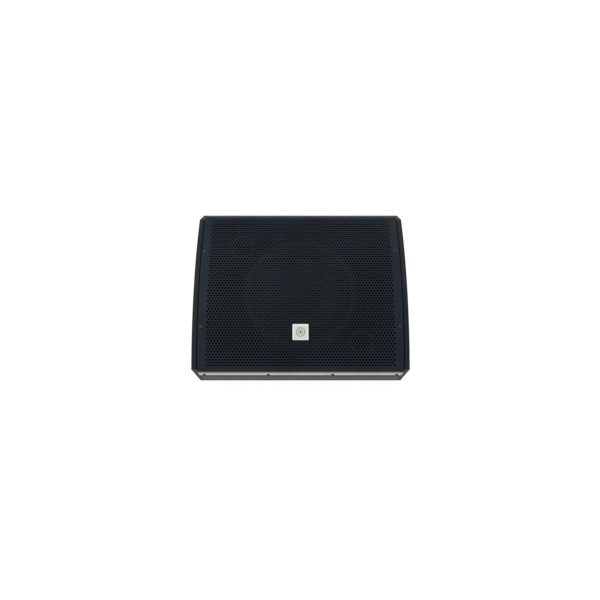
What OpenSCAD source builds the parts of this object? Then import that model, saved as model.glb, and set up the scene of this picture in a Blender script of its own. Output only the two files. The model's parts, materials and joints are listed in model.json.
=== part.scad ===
// Stage monitor wedge: a plywood cabinet with a curved perforated front, a coaxial speaker
// behind it and an amplifier in its back. Millimetres, front towards -Y, floor at Z = 0,
// origin on the floor under the middle of the cabinet.

/* [Cabinet] */
// Width over both cheeks
body_w = 557; // [460:1:700]
// Depth of the cheeks
body_d = 402; // [390:1:500]
// Height of the cabinet without its feet
body_h = 368; // [340:1:450]
// Height of the front corner above the base
kick_h = 116; // [90:1:150]
// How far the kick face leans back on its way down
kick_run = 79.5; // [60:0.5:110]
// Radius of the curved front
face_r = 758; // [600:1:1500]
// Depth of the sloping top
crest_run = 69; // [50:1:110]
// Fall of the sloping top towards the back
crest_drop = 23; // [12:1:60]
// Thickness of the cabinet's plywood
ply = 12; // [9:0.5:15]
// Thickness of the baffle board
baffle_t = 18; // [12:0.5:22]
// How far the baffle lies behind the line between the front's two edges
baffle_set = 20; // [16:0.5:28]
// How far the rear panel is set in
rear_inset = 22; // [20:0.5:34]
// Side of the battens that hold the rear panel
batten = 20; // [15:1:22]
// Thickness of the damping felt on the base
felt_t = 20; // [10:1:25]

/* [Grille] */
// Thickness of the grille's steel
sheet_t = 1.5; // [1:0.1:2]
// Gap between the grille and each cheek
grille_gap = 2.5; // [2:0.25:5]
// Outer radius of the grille's folds
bend_r = 3; // [2.5:0.1:4]
// Foam under the lower flange
foam_low = 3.5; // [2:0.1:6]
// Foam under the upper flange
foam_top = 4; // [2:0.1:7]
// Length of the lower flange
flange_low = 45; // [35:1:55]
// Length of the upper flange
flange_top = 16; // [14:1:24]
// Thickness of the foam tape on the side cleats
tape_t = 3; // [2:0.5:4]
// Width of the side cleats
cleat_w = 22.5; // [18:0.5:30]
// Side of the square badge
badge_w = 40.5; // [30:0.5:60]
// Height of the badge's middle along the curve
badge_up = 100.5; // [60:0.5:300]
// Thickness of the badge
badge_t = 2.4; // [1.6:0.1:4]

/* [Loudspeaker] */
// Outer radius of the woofer's frame
woofer_r = 152; // [125:1:156]
// Width of the woofer frame's rim outside the surround
rim_w = 22.5; // [18:0.5:30]
// Width of the surround's roll
roll_w = 25.5; // [20:0.5:28]
// Radius of the voice coil's former
coil_r = 38.9; // [36:0.1:42]
// Radius of the dust screen
screen_r = 57; // [48:1:64]
// Travel of the cone each way
cone_travel = 4; // [2:0.5:5]
// Inner radius of the port tubes
port_r = 27.2; // [20:0.1:27.8]
// Length of the port tubes behind the baffle
port_len = 62; // [40:1:80]
// Sideways distance of each port from the woofer's middle
port_x = 161; // [155:1:175]
// Distance of each port from the woofer's middle along the baffle
port_s = 134; // [125:1:140]

/* [Handling] */
// Width of the handle's opening
hand_w = 120; // [100:1:130]
// Height of the handle's opening
hand_h = 74; // [64:1:84]
// Depth of the handle's cup
hand_deep = 46; // [40:1:55]
// Radius of the handle's grip bar
grip_r = 8; // [6:0.5:10]
// Distance of the handle's middle from the cheek's back edge
hand_back = 120; // [105:1:150]
// Height of the handle's middle above the base
hand_up = 192; // [150:1:210]
// Radius of the pole socket's bore
pole_r = 18; // [15:0.1:19]
// Depth of the pole socket's bore
pole_deep = 82; // [60:1:100]
// Distance of the pole socket from the cheek's back edge
pole_back = 202; // [190:1:230]
// Height of the pole socket above the base
pole_up = 92; // [80:1:100]
// Height of the rubber feet
foot_h = 8; // [5:0.5:12]
// Radius of the rubber feet
foot_r = 17; // [12:0.5:22]

/* [Amplifier] */
// Width of the amplifier's plate
plate_w = 300; // [290:1:340]
// Height of the amplifier's plate
plate_h = 160; // [150:1:180]
// Thickness of the amplifier's plate
plate_t = 2.5; // [2:0.1:4]
// Height of the plate's middle above the base
plate_up = 207; // [170:1:215]
// Depth of the amplifier's box behind the plate
box_deep = 58; // [50:1:60]
// Radius of the level knob
knob_r = 10; // [8:0.5:12]
// Half the angle that the level knob turns through
knob_turn = 150; // [90:1:160]
// Angle that the power rocker tilts through
rocker_tilt = 20; // [14:1:24]
// Travel of the push buttons
button_travel = 2.5; // [1.5:0.1:3]

/* [Hidden] */
$fn = 64;
eps = 0.01;
// room between a piece and the cut-out that takes it
fit = 0.2;
// room between a screw's shank and its hole
screw_fit = 0.05;

// ---- side view geometry, as [back, up] ----

function unit(v) = v / norm(v);
function turn_left(v) = [-v[1], v[0]];
function cross2(a, b) = a[0] * b[1] - a[1] * b[0];
// where the line through p along u meets the line through q along v
function meet(p, u, q, v) = p + u * cross2(q - p, v) / cross2(u, v);
// where the line through p along u leaves the circle about c
function leave(c, r, p, u) =
    let (w = p - c, b = w * u) p + u * (sqrt(b * b - w * w + r * r) - b);
function angle_of(v) = atan2(v[1], v[0]);
function ray(a) = [cos(a), sin(a)];
function arc(c, r, a0, a1, steps) = [for (i = [0:steps]) c + r * ray(a0 + (a1 - a0) * i / steps)];
// middle of the front's curve, below and behind the line from a to b
function face_middle(a, b) =
    let (h = norm(b - a) / 2)
    (a + b) / 2 - turn_left(unit(b - a)) * sqrt(face_r * face_r - h * h);

base_z = foot_h;
floor_z = base_z + ply;
inner_w = body_w - 2 * ply;
proud_low = sheet_t + foam_low;
proud_top = sheet_t + foam_top;

// the cheek's corners with the front corner at back = 0, before centring
raw_foot = [kick_run, base_z];
raw_corner = [0, base_z + kick_h];
raw_crest = [body_d - crest_run, base_z + body_h];
raw_tail = [body_d, base_z + body_h - crest_drop];
kick_up = unit(raw_corner - raw_foot);
kick_out = turn_left(kick_up);
crest_up = unit(raw_crest - raw_tail);
crest_out = -turn_left(crest_up);
raw_bend = leave(
    face_middle(raw_corner, raw_crest), face_r - bend_r,
    raw_corner + kick_out * (proud_low - bend_r), kick_up
);
// the grille's lower fold is the foremost point, so it sets the centring
shift = [-(body_d + raw_bend[0] - bend_r) / 2, 0];

heel = raw_foot + shift;
corner = raw_corner + shift;
crest = raw_crest + shift;
tail = raw_tail + shift;
back_y = tail[0];
rear_y = back_y - rear_inset;
batten_y = rear_y - ply - batten;
face_c = face_middle(corner, crest);
face_up = unit(crest - corner);
face_out = turn_left(face_up);
kick_in = corner - kick_out * ply;
crest_in = crest - crest_out * ply;

// the front's curve ends where it meets the outsides of the grille's flanges
low_edge = leave(face_c, face_r, corner + kick_out * proud_low, kick_up);
top_edge = leave(face_c, face_r, crest + crest_out * proud_top, crest_up);
low_a = angle_of(low_edge - face_c);
top_a = angle_of(top_edge - face_c);
face_len = (low_a - top_a) * PI / 180 * face_r;
// a point on the kick face or on the sloping top, d away from the grille's fold
function on_kick(d, out) = low_edge - kick_up * d + kick_out * (out - proud_low);
function on_crest(d, out) = top_edge - crest_up * d + crest_out * (out - proud_top);
function face_angle(s) = low_a - s / face_r * 180 / PI;
curve_steps = 60;

// the baffle's front plane and the woofer's middle on it
baffle_mid = (corner + crest) / 2 - face_out * baffle_set;
baffle_back = baffle_mid - face_out * baffle_t;
// the highest point at a depth y that is clear of the top panel and of the baffle
function roof(y) =
    let (
        a = meet(crest_in, crest_up, [y, 0], [0, 1]),
        b = meet(baffle_back, face_up, [y, 0], [0, 1])
    )
    a[1] < b[1] ? a : b;

// ---- placing and shared shapes ----

// puts children at a side-view point with their +Z along the direction out
module set_on(x, p, out) {
    translate([x, p[0], p[1]]) rotate([atan2(-out[0], out[1]), 0, 0]) children();
}
module on_baffle(x = 0, s = 0) {
    set_on(x, baffle_mid + face_up * s, face_out) children();
}
// on the rear panel: +X to the right as seen from behind, +Y up, +Z out of the back
module on_rear(x = 0, y = 0) {
    translate([-x, rear_y, base_z + plate_up + y]) rotate([-90, 0, 0]) rotate([0, 0, 180])
        children();
}
// on the right cheek's outside: +X towards the back, +Y up, +Z out of the side
module on_cheek(back, up) {
    translate([body_w / 2, back_y - back, base_z + up]) rotate([90, 0, 90]) children();
}
module both_sides() {
    children();
    mirror([1, 0, 0]) children();
}
// a side-view outline carried across the width, from x0 to x1
module across(points, x0, x1) {
    rotate([90, 0, 90]) translate([0, 0, x0]) linear_extrude(x1 - x0) polygon(points);
}
module rounded(w, h, r) {
    union() {
        square([w - 2 * r, h], center = true);
        square([w, h - 2 * r], center = true);
        for (x = [-1, 1], y = [-1, 1]) {
            translate([x * (w / 2 - r), y * (h / 2 - r)]) circle(r, $fn = 32);
        }
    }
}
module ring(r0, r1, z0, z1) {
    translate([0, 0, z0]) linear_extrude(z1 - z0) difference() {
        circle(r1);
        circle(r0);
    }
}
module cross_slot(r, deep) {
    for (a = [0, 90]) {
        rotate([0, 0, a]) cube([2 * r, r / 2, 2 * deep], center = true);
    }
}
// a pan-head screw, with its head standing on z = 0
module pan_screw(head_r, shank_r, length) {
    head_h = 0.6 * head_r;
    difference() {
        rotate_extrude($fn = 32) polygon([
            [0, -length], [shank_r, -length], [shank_r, 0], [head_r, 0],
            [head_r, 0.4 * head_h], [0.82 * head_r, 0.8 * head_h],
            [0.5 * head_r, head_h], [0, head_h]
        ]);
        translate([0, 0, head_h]) cross_slot(0.5 * head_r, 0.5 * head_h);
    }
}
// the outline of a countersunk screw, flush with z = 0, grown by room
module sunk_body(head_r, shank_r, length, room = 0) {
    sink = head_r - shank_r;
    rotate_extrude($fn = 32) polygon([
        [0, -length - room], [shank_r + room, -length - room], [shank_r + room, -sink],
        [head_r + room, 0], [head_r + room, room], [0, room]
    ]);
}
module sunk_screw(head_r, shank_r, length) {
    difference() {
        sunk_body(head_r, shank_r, length);
        cross_slot(0.5 * head_r, 0.8);
    }
}

// ---- fasteners and where they go ----

grille_head_r = 4.2;
grille_shank_r = 1.9;
grille_screw_len = 15;
grille_w = inner_w - 2 * grille_gap;
// along the curve: how far the margin screws lie from each end
margin_in = 114;
margin_screw_x = grille_w / 2 - 9;
flange_screw_x = [grille_w / 2 - 13, grille_w / 2 - 180];
flange_screw_low = 36;

module grille_screw_places() {
    both_sides() {
        for (s = [margin_in, face_len - margin_in]) {
            out = ray(face_angle(s));
            set_on(margin_screw_x, face_c + out * face_r, out) children();
        }
        for (x = flange_screw_x) {
            set_on(x, on_kick(flange_screw_low, proud_low), kick_out) children();
        }
    }
}
module grille_holes() {
    grille_screw_places() translate([0, 0, -grille_screw_len - eps])
        cylinder(r = grille_shank_r + screw_fit, h = grille_screw_len + 2, $fn = 24);
}

woofer_screw_r = woofer_r - 8;
woofer_screws_n = 8;
gasket_top = 8.5;
frame_top = 5;
woofer_screw_len = 24;
woofer_shank_r = 2.1;
module woofer_screw_places() {
    for (i = [0:woofer_screws_n - 1]) {
        rotate([0, 0, (i + 0.5) * 360 / woofer_screws_n]) translate([woofer_screw_r, 0, 0])
            children();
    }
}
module woofer_screw_holes() {
    woofer_screw_places() translate([0, 0, gasket_top - woofer_screw_len - eps])
        cylinder(r = woofer_shank_r + screw_fit, h = woofer_screw_len + 1, $fn = 24);
}

hand_rim_w = hand_w + 30;
hand_rim_h = hand_h + 30;
hand_wall = 2;
rim_t = 2;
hand_head_r = 3.6;
hand_shank_r = 1.7;
side_screw_len = 11;
module hand_screw_places() {
    for (x = [-1, 1], y = [-1, 1]) {
        translate([x * (hand_rim_w / 2 - 6.5), y * (hand_rim_h / 2 - 22)]) children();
    }
}
pole_rim_r = 46;
pole_rim_t = 3;
pole_wall = 3.5;
pole_head_r = 4;
pole_shank_r = 1.9;
module pole_screw_places() {
    for (i = [0:3]) {
        rotate([0, 0, 45 + i * 90]) translate([36, 0, 0]) children();
    }
}

foot_inset_x = 34;
foot_front = 40;
foot_rear = 34;
foot_shank_r = 2.2;
foot_screw_len = 12;
module foot_places() {
    for (x = [-1, 1], y = [heel[0] + foot_front, back_y - foot_rear]) {
        translate([x * (body_w / 2 - foot_inset_x), y, 0]) children();
    }
}

// ---- cabinet ----

cheek_outline = concat(
    [heel],
    arc(face_c, face_r, angle_of(corner - face_c), angle_of(crest - face_c), curve_steps),
    [tail, [back_y, base_z]]
);
wood_front = face_r - sheet_t - 1;

module cheek() {
    difference() {
        across(cheek_outline, inner_w / 2, body_w / 2);
        on_cheek(hand_back, hand_up) {
            translate([0, 0, -ply - 1]) linear_extrude(ply + 2)
                rounded(hand_w + 2 * (hand_wall + fit), hand_h + 2 * (hand_wall + fit), 15);
            translate([0, 0, -rim_t]) linear_extrude(rim_t + 1)
                rounded(hand_rim_w + 2 * fit, hand_rim_h + 2 * fit, 14);
            hand_screw_places() sunk_body(hand_head_r, hand_shank_r, side_screw_len, screw_fit);
        }
    }
}
module left_cheek() {
    color("#25282b") mirror([1, 0, 0]) cheek();
}
module right_cheek() {
    color("#25282b") difference() {
        cheek();
        on_cheek(pole_back, pole_up) {
            translate([0, 0, -ply - 1]) cylinder(r = pole_r + pole_wall + fit, h = ply + 2);
            translate([0, 0, -pole_rim_t]) cylinder(r = pole_rim_r + fit, h = pole_rim_t + 1);
            pole_screw_places() sunk_body(pole_head_r, pole_shank_r, side_screw_len, screw_fit);
        }
    }
}
module base_panel() {
    color("#232527") difference() {
        across([
            heel, [back_y, base_z], [back_y, floor_z],
            meet(heel, kick_up, [0, floor_z], [1, 0])
        ], -inner_w / 2, inner_w / 2);
        foot_places() translate([0, 0, base_z - 1])
            cylinder(r = foot_shank_r + screw_fit, h = foot_screw_len - 2, $fn = 24);
    }
}
module kick_panel() {
    color("#3c3c40") difference() {
        across([
            meet(heel, kick_up, [0, floor_z], [1, 0]),
            leave(face_c, wood_front, corner, kick_up),
            leave(face_c, wood_front, kick_in, kick_up),
            meet(kick_in, kick_up, [0, floor_z], [1, 0])
        ], -inner_w / 2, inner_w / 2);
        grille_holes();
    }
}
module top_panel() {
    color("#232527") across([
        leave(face_c, wood_front, crest, crest_up), tail,
        meet(crest_in, crest_up, [back_y, 0], [0, 1]),
        leave(face_c, wood_front, crest_in, crest_up)
    ], -inner_w / 2, inner_w / 2);
}
module rear_panel() {
    color("#232527") difference() {
        across([
            [rear_y, floor_z], roof(rear_y), roof(rear_y - ply), [rear_y - ply, floor_z]
        ], -inner_w / 2, inner_w / 2);
        on_rear() translate([0, 0, -ply - 1]) linear_extrude(ply + 2)
            square([box_w + 2 * fit, box_h + 2 * fit], center = true);
        plate_screw_places() translate([0, 0, -plate_screw_len])
            cylinder(r = plate_shank_r + screw_fit, h = plate_screw_len + 1, $fn = 24);
    }
}
module rear_cleats() {
    color("#b08d5b") both_sides() across([
        [batten_y, floor_z], [rear_y - ply, floor_z], roof(rear_y - ply), roof(batten_y)
    ], inner_w / 2 - batten, inner_w / 2);
}
module baffle_board() {
    color("#1b1d1f") difference() {
        across([
            for (p = [baffle_mid, baffle_back]) meet(p, face_up, kick_in, kick_up),
            for (p = [baffle_back, baffle_mid]) meet(p, face_up, crest_in, crest_up)
        ], -inner_w / 2, inner_w / 2);
        on_baffle() {
            translate([0, 0, -baffle_t - 1]) cylinder(r = basket_wall + 2, h = baffle_t + 2);
            woofer_screw_holes();
        }
        port_places() translate([0, 0, -baffle_t - 1])
            cylinder(r = port_r + port_wall + fit, h = baffle_t + 2);
    }
}
cleat_front = face_r - sheet_t - tape_t;
cleat_low_a = angle_of(leave(face_c, cleat_front, kick_in, kick_up) - face_c);
cleat_top_a = angle_of(leave(face_c, cleat_front, crest_in, crest_up) - face_c);
cleat_arc = arc(face_c, cleat_front, cleat_low_a, cleat_top_a, curve_steps);
module grille_cleats() {
    color("#1b1d1f") difference() {
        both_sides() across(concat(
            [meet(baffle_mid, face_up, kick_in, kick_up)], cleat_arc,
            [meet(baffle_mid, face_up, crest_in, crest_up)]
        ), inner_w / 2 - cleat_w, inner_w / 2);
        grille_holes();
    }
}

// ---- grille ----

low_bend = leave(
    face_c, face_r - bend_r, corner + kick_out * (proud_low - bend_r), kick_up
);
top_bend = leave(
    face_c, face_r - bend_r, crest + crest_out * (proud_top - bend_r), crest_up
);
low_bend_a = angle_of(low_bend - face_c);
top_bend_a = angle_of(top_bend - face_c);
kick_a = angle_of(kick_out) + 360;
// the sheet's outline at a depth under its outside
function sheet_line(deep) = concat(
    [on_kick(flange_low, proud_low - deep)],
    arc(low_bend, bend_r - deep, kick_a, low_bend_a, 8),
    [for (i = [1:curve_steps - 1])
        face_c + (face_r - deep) * ray(low_bend_a + (top_bend_a - low_bend_a) * i / curve_steps)],
    arc(top_bend, bend_r - deep, top_bend_a, angle_of(crest_out), 8),
    [on_crest(flange_top, proud_top - deep)]
);
function reversed(list) = [for (i = [len(list) - 1:-1:0]) list[i]];

module grille() {
    color("#2c3138") difference() {
        across(concat(sheet_line(0), reversed(sheet_line(sheet_t))), -grille_w / 2, grille_w / 2);
        grille_holes();
    }
}
module grille_gasket_lower() {
    color("#141516") difference() {
        across([
            on_kick(7, 0), on_kick(7, foam_low),
            on_kick(flange_low - 1, foam_low), on_kick(flange_low - 1, 0)
        ], -grille_w / 2 + 2, grille_w / 2 - 2);
        grille_holes();
    }
}
module grille_gasket_upper() {
    color("#141516") across([
        on_crest(5, 0), on_crest(5, foam_top),
        on_crest(flange_top - 1, foam_top), on_crest(flange_top - 1, 0)
    ], -grille_w / 2 + 2, grille_w / 2 - 2);
}
module grille_side_tapes() {
    tape_w = 16;
    // how far the tape stays away from the panels at its ends
    short = 5 / face_r * 180 / PI;
    // air on each face, so that the flats of the curves never cross
    air = 0.03;
    a0 = cleat_low_a - short;
    a1 = cleat_top_a + short;
    color("#101112") difference() {
        both_sides() across(
            concat(
                arc(face_c, cleat_front + air, a0, a1, curve_steps),
                arc(face_c, face_r - sheet_t - air, a1, a0, curve_steps)
            ), grille_w / 2 - tape_w, grille_w / 2 - 0.5
        );
        grille_holes();
    }
}
module grille_screws() {
    color("#1a1b1d") grille_screw_places()
        pan_screw(grille_head_r, grille_shank_r, grille_screw_len);
}
module badge() {
    out = ray(face_angle(badge_up));
    color("#dbe5d3") set_on(0, face_c + out * face_r, out) linear_extrude(badge_t)
        rounded(badge_w, badge_w, 1.5);
}

// ---- ports and woofer, each on the baffle with +Z to the front ----

port_wall = 2.5;
module port_places() {
    on_baffle(port_x, -port_s) children();
    on_baffle(-port_x, port_s) children();
}
module port_tube() {
    color("#141516") difference() {
        union() {
            translate([0, 0, -port_len]) cylinder(r = port_r + port_wall, h = port_len + 2);
            cylinder(r = port_r + port_wall + 4, h = 2);
        }
        translate([0, 0, -port_len - 1]) cylinder(r = port_r, h = port_len + 5);
    }
}
module port_tube_lower() {
    on_baffle(port_x, -port_s) port_tube();
}
module port_tube_upper() {
    on_baffle(-port_x, port_s) port_tube();
}

// heights on the woofer's axis, with 0 on the baffle
rim_z = 4;
neck_z = -44;
ledge_z = -57;
magnet_z = [-60, -68, -88, -96];
cone_r = woofer_r - rim_w - roll_w;
foot_r0 = cone_r + roll_w;
basket_wall = woofer_r - 13;
cone_t = 1.2;
// the cone's flare: height of its front at a radius
function cone_z(r) = neck_z + (rim_z - neck_z) * pow((r - coil_r) / (cone_r - coil_r), 0.85);
cone_steps = 16;
function cone_rim(i) = coil_r + (cone_r - coil_r) * i / cone_steps;

module woofer_basket() {
    color("#2a2c2f") on_baffle() difference() {
        rotate_extrude($fn = 96) polygon([
            [foot_r0 - 1.5, frame_top], [woofer_r, frame_top], [woofer_r, 0], [basket_wall, 0],
            [100, ledge_z + 5], [100, magnet_z[0]], [60, magnet_z[0]], [60, ledge_z],
            [96.5, ledge_z], [96.5, ledge_z + 6.5], [basket_wall - 5.5, -1.5], [foot_r0 - 1.5, -1.5]
        ]);
        for (i = [0:5]) {
            rotate([0, 0, 30 + i * 60]) translate([80, -24, -50]) cube([70, 48, 36]);
        }
        woofer_screw_holes();
    }
}
module woofer_gasket() {
    color("#7d8184") on_baffle() difference() {
        ring(foot_r0 + 6, woofer_r - 3.5, frame_top + 1, gasket_top);
        woofer_screw_holes();
    }
}
module woofer_screws() {
    color("#1a1b1d") on_baffle() woofer_screw_places() translate([0, 0, gasket_top])
        pan_screw(4.4, woofer_shank_r, woofer_screw_len);
}
module surround() {
    roll_r = (foot_r0 - cone_r) / 2;
    roll_mid = (foot_r0 + cone_r) / 2;
    skin = 1;
    z0 = frame_top;
    // how far it laps over the cone's edge, and the glue line between them
    lap = 4;
    air = 0.05;
    color("#1c1c1e") on_baffle() difference() {
        rotate_extrude($fn = 96) polygon(concat(
            [[woofer_r - 4, z0], [woofer_r - 4, z0 + skin], [foot_r0 + 0.6, z0 + skin]],
            [for (a = [8:8:172]) [roll_mid, z0 + skin / 2] + (roll_r + skin / 2) * ray(a)],
            [
                [cone_r - 0.7, cone_z(cone_r - 0.7) + skin + air],
                [cone_r - lap, cone_z(cone_r - lap) + skin + air],
                [cone_r - lap, cone_z(cone_r - lap) + air], [cone_r + 0.3, rim_z + 5 * air]
            ],
            [for (a = [168:-8:12]) [roll_mid, z0 + skin / 2] + (roll_r - skin / 2) * ray(a)],
            [[foot_r0 + 0.5, z0]]
        ));
        woofer_screw_holes();
    }
}
module woofer_cone() {
    color("#3a3d40") on_baffle() rotate_extrude($fn = 96) polygon(concat(
        [for (i = [0:cone_steps]) [cone_rim(i), cone_z(cone_rim(i))]],
        [for (i = [cone_steps:-1:0]) [cone_rim(i), cone_z(cone_rim(i)) - cone_t - 0.3]]
    ));
}
module dust_screen() {
    rise = 11;
    skin = 0.8;
    cap_r = (screen_r * screen_r + rise * rise) / (2 * rise);
    cap_z = cone_z(screen_r) + rise - cap_r;
    half = asin(screen_r / cap_r);
    color("#17181a") on_baffle() rotate_extrude($fn = 96) polygon(concat(
        arc([0, cap_z], cap_r, 90 - half, 90, 12),
        arc([0, cap_z], cap_r - skin, 90, 90 - half + 1.2, 12)
    ));
}
module voice_coil() {
    // it stops short of the back plate by its travel and some spare room
    former_end = magnet_z[2] + cone_travel + 8;
    color("#b87333") on_baffle() union() {
        ring(coil_r - 0.7, coil_r, former_end, neck_z - cone_t);
        ring(coil_r - 0.4, coil_r + 0.2, former_end + 2, former_end + 18);
    }
}
module spider() {
    waves = 5;
    skin = 0.8;
    outer = 88;
    lift = ledge_z + 5.5;
    function wave(r) = lift + 1.2 * sin((r - coil_r) / (outer - coil_r) * 360 * waves);
    rs = [for (i = [0:40]) coil_r + 0.02 + (outer - coil_r) * i / 40];
    color("#c9a15a") on_baffle() rotate_extrude($fn = 72) polygon(concat(
        [for (r = rs) [r, wave(r)]],
        [[90, ledge_z + skin], [96, ledge_z + skin], [96, ledge_z], [89, ledge_z]],
        [for (r = reversed(rs)) [r, wave(r) - skin]]
    ));
}
module magnet_front_plate() {
    color("#8c9196") on_baffle() ring(coil_r + 0.8, 72, magnet_z[1], magnet_z[0]);
}
module ferrite_magnet() {
    color("#333538") on_baffle() ring(coil_r + 7, 80, magnet_z[2], magnet_z[1]);
}
throat_r = 18;
module magnet_back_plate() {
    color("#8c9196") on_baffle() union() {
        ring(throat_r, 72, magnet_z[3], magnet_z[2]);
        ring(throat_r, coil_r - 1.7, magnet_z[2] - eps, magnet_z[0]);
    }
}
module hf_horn() {
    bottom = magnet_z[3];
    color("#202123") on_baffle() rotate_extrude() polygon([
        [12.5, bottom - 2], [40, bottom - 2], [40, bottom], [throat_r - 0.3, bottom],
        [throat_r - 0.3, -60], [22, -54], [34.5, -38], [33, -36.5], [20, -53], [12.5, -64]
    ]);
}
module compression_driver() {
    top = magnet_z[3] - 2;
    color("#26282a") on_baffle() rotate_extrude() polygon([
        [12.5, top], [50, top], [50, top - 36], [44, top - 42], [44, top - 48],
        [0, top - 48], [0, top - 20], [12.5, top - 20]
    ]);
}
// how far the terminals' outer end lies from the axis
tag_x = basket_wall - 9;
module woofer_terminals() {
    color("#c8a24a") on_baffle() difference() {
        translate([tag_x - 22, -9, -36]) cube([22, 18, 12]);
        rotate_extrude($fn = 96) polygon([
            [0, 2], [basket_wall, 0], [100, ledge_z + 5], [100, magnet_z[0]], [0, magnet_z[0]]
        ]);
    }
}

// ---- handles, pole socket and feet ----

module handle_cup() {
    color("#18191b") on_cheek(hand_back, hand_up) difference() {
        union() {
            translate([0, 0, -rim_t]) linear_extrude(rim_t) rounded(hand_rim_w, hand_rim_h, 14);
            translate([0, 0, -hand_deep - hand_wall]) linear_extrude(hand_deep)
                rounded(hand_w + 2 * hand_wall, hand_h + 2 * hand_wall, 15);
        }
        translate([0, 0, -hand_deep]) linear_extrude(hand_deep + 1)
            rounded(hand_w, hand_h, 13);
        hand_screw_places() sunk_body(hand_head_r, hand_shank_r, side_screw_len, screw_fit);
    }
}
module handle_grip() {
    color("#2b2d30") on_cheek(hand_back, hand_up) translate([-hand_w / 2, 0, -grip_r - 6])
        rotate([0, 90, 0]) cylinder(r = grip_r, h = hand_w);
}
module handle_cup_left() {
    mirror([1, 0, 0]) handle_cup();
}
module handle_cup_right() {
    handle_cup();
}
module handle_grip_left() {
    mirror([1, 0, 0]) handle_grip();
}
module handle_grip_right() {
    handle_grip();
}
module handle_screws() {
    color("#1a1b1d") both_sides() on_cheek(hand_back, hand_up) hand_screw_places()
        sunk_screw(hand_head_r, hand_shank_r, side_screw_len);
}
module pole_socket() {
    color("#1c1d1f") on_cheek(pole_back, pole_up) difference() {
        union() {
            translate([0, 0, -pole_rim_t]) cylinder(r = pole_rim_r, h = pole_rim_t);
            translate([0, 0, -pole_deep - 3]) cylinder(r = pole_r + pole_wall, h = pole_deep + 2);
        }
        translate([0, 0, -pole_deep]) cylinder(r = pole_r, h = pole_deep + 1);
        pole_screw_places() sunk_body(pole_head_r, pole_shank_r, side_screw_len, screw_fit);
    }
}
module pole_socket_screws() {
    color("#1a1b1d") on_cheek(pole_back, pole_up) pole_screw_places()
        sunk_screw(pole_head_r, pole_shank_r, side_screw_len);
}
module rubber_feet() {
    color("#111213") foot_places() difference() {
        cylinder(r1 = foot_r - 2, r2 = foot_r, h = base_z);
        translate([0, 0, -1]) cylinder(r = 5.5, h = base_z - 2);
        cylinder(r = foot_shank_r + screw_fit, h = base_z + 1, $fn = 24);
    }
}
module feet_screws() {
    color("#6b6f73") foot_places() translate([0, 0, base_z - 3]) rotate([180, 0, 0])
        pan_screw(4.6, foot_shank_r, foot_screw_len);
}

// ---- amplifier, on the rear panel with +Z out of the back ----

box_w = 250;
box_h = 136;
box_wall = 1.5;
// places on the plate as [right, up], seen from behind
xlr_in_at = [12, -14];
xlr_link_at = [54, -14];
knob_at = [12, 42];
contour_at = [48, 42];
lift_at = [68, 42];
lamps_at = [96, 42];
lamp_step = 11;
inlet_at = [box_w / 2 - 25, -42];
switch_at = [inlet_at[0], 0];
sink_at = [-92, 0];
sink_w = 92;
sink_h = 124;
xlr_hole_r = 12;
inlet_w = 28;
inlet_h = 20.5;
switch_w = 20;
switch_h = 27.2;
button_w = 7;
lamp_r = 2.4;
pot_r = 3;

plate_shank_r = 1.9;
plate_screw_len = 10.5;
module plate_screw_places() {
    for (x = [-1, 0, 1], y = [-1, 1]) {
        on_rear(x * (plate_w / 2 - 7), y * (plate_h / 2 - 5)) children();
    }
}
module small_screw_places() {
    for (at = [xlr_in_at, xlr_link_at], side = [-1, 1]) {
        on_rear(at[0] + side * 9.5, at[1] + side * 12) children();
    }
    for (side = [-1, 1]) {
        on_rear(inlet_at[0] + side * 20, inlet_at[1]) children();
    }
}
small_head_z = plate_t + 2;
small_head_r = 2.8;
small_shank_r = 1.4;
small_screw_len = 8;
module small_holes() {
    small_screw_places() translate([0, 0, small_head_z])
        sunk_body(small_head_r, small_shank_r, small_screw_len, screw_fit);
}
// grooves round the level knob, from one end of its turn to the other
module dial_marks() {
    marks = 11;
    deep = 0.3;
    for (i = [0:marks - 1]) {
        rotate([0, 0, knob_turn * (1 - 2 * i / (marks - 1))])
            translate([-0.35, knob_r + 2.6, plate_t - deep]) cube([0.7, 2.6, deep + 1]);
    }
}
module amp_plate() {
    color("#2a2c2e") difference() {
        on_rear() linear_extrude(plate_t) difference() {
            rounded(plate_w, plate_h, 4);
            for (at = [xlr_in_at, xlr_link_at]) translate(at) circle(xlr_hole_r + fit);
            translate(xlr_in_at + [0, latch_up])
                square([latch_w + 2 * latch_room, latch_h + 2 * latch_room], center = true);
            translate(knob_at) circle(4.2);
            for (at = [contour_at, lift_at]) {
                translate(at) square(button_w + 0.8, center = true);
            }
            for (i = [0:2]) translate(lamps_at + [i * lamp_step, 0]) circle(lamp_r + fit / 2);
            translate(switch_at) square([switch_w + fit, switch_h + fit], center = true);
            translate(inlet_at) square([inlet_w + fit, inlet_h + fit], center = true);
        }
        plate_screw_places() translate([0, 0, -1])
            cylinder(r = plate_shank_r + 0.1, h = plate_t + 2, $fn = 24);
        on_rear(knob_at[0], knob_at[1]) dial_marks();
        small_holes();
    }
}
module amp_heatsink() {
    fins = 12;
    fin_t = 2.2;
    sink_base = 3.5;
    sink_deep = 15;
    color("#1d1e20") on_rear(sink_at[0], sink_at[1]) translate([0, 0, plate_t]) union() {
        translate([-sink_w / 2, -sink_h / 2, 0]) cube([sink_w, sink_h, sink_base]);
        for (i = [0:fins - 1]) {
            translate([-sink_w / 2 + i * (sink_w - fin_t) / (fins - 1), -sink_h / 2, 0])
                cube([fin_t, sink_h, sink_deep]);
        }
    }
}
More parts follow.
